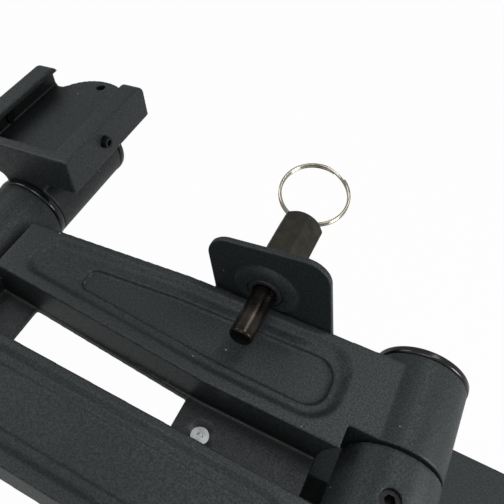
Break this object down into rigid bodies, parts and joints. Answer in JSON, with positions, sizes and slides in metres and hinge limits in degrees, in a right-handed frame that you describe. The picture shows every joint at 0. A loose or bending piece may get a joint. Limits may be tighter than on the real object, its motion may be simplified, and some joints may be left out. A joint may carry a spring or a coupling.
{
  "type": "locking swing-arm display mount",
  "caption": "Cast swing arm on a wall bracket, with a slotted swivel cradle at its end and a spring lock pin with a hex pull knob and split ring on a side tab.",
  "frame": {"origin": "centre of the wall plate's back face, behind the wall pivot", "axes": "+X along the arm away from the cradle, +Y along the pivots towards the cradle's side, +Z out of the wall"},
  "size_m": [0.2421, 0.1511, 0.0829],
  "materials": {
    "cast_aluminium": "charcoal textured powder coat on die-cast aluminium",
    "coated_steel": "charcoal textured powder coat on steel plate",
    "black_plastic": "glossy moulded",
    "bearing_plastic": "matte moulded",
    "zinc_steel": "bright zinc plate",
    "black_oxide_steel": "oiled black oxide",
    "nickel_steel": "bright nickel plate"
  },
  "bodies": {
    "wall_bracket": {"wall_plate": "coated_steel", "hinge_post": "cast_aluminium", "post_screws": "zinc_steel", "wall_pivot_shaft": "zinc_steel", "pivot_set_screw": "black_oxide_steel", "wall_pivot_nut": "zinc_steel", "wall_disc_spring": "zinc_steel", "wall_thrust_washers": "bearing_plastic"},
    "arm": {"arm_casting": "cast_aluminium", "wall_bushing_upper": "bearing_plastic", "wall_bushing_lower": "bearing_plastic", "wall_cap_upper": "black_plastic", "wall_cap_lower": "black_plastic", "head_bushing_upper": "black_plastic", "head_bushing_lower": "bearing_plastic", "head_cap_lower": "black_plastic", "lock_tab": "coated_steel", "tab_screws": "black_oxide_steel", "plunger_housing": "coated_steel", "plunger_spring": "zinc_steel", "cable_clip": "bearing_plastic", "clip_screw": "zinc_steel"},
    "head": {"head_cradle": "cast_aluminium", "head_pivot_shaft": "zinc_steel", "head_pivot_nut": "zinc_steel", "head_disc_spring": "zinc_steel", "head_cap_upper": "black_plastic", "cradle_screw_left": "black_oxide_steel", "cradle_screw_right": "black_oxide_steel"},
    "lock_plunger": {"lock_pin": "black_oxide_steel", "pull_knob": "black_oxide_steel"},
    "pull_ring": {"split_ring": "nickel_steel"}
  },
  "joints": [
    {"name": "wall_swing", "type": "hinge", "parent": "wall_bracket", "child": "arm", "pos_m": [0, 0, 0.042], "axis": [0, 1, 0], "range_deg": [-6, 165]},
    {"name": "head_swivel", "type": "hinge", "parent": "arm", "child": "head", "pos_m": [-0.1482, 0, 0.042], "axis": [0, 1, 0], "range_deg": [-79, 101]},
    {"name": "pin_pull", "type": "slide", "parent": "arm", "child": "lock_plunger", "axis": [0, 1, 0], "range_m": [0, 0.012], "stiffness_N_per_m": 500, "springref_m": -0.01, "deforming": ["plunger_spring"]},
    {"name": "ring_swing", "type": "hinge", "parent": "lock_plunger", "child": "pull_ring", "pos_m": [-0.0558, 0.07302, 0.0619], "axis": [1, 0, 0], "range_deg": [-102, 78]}
  ]
}
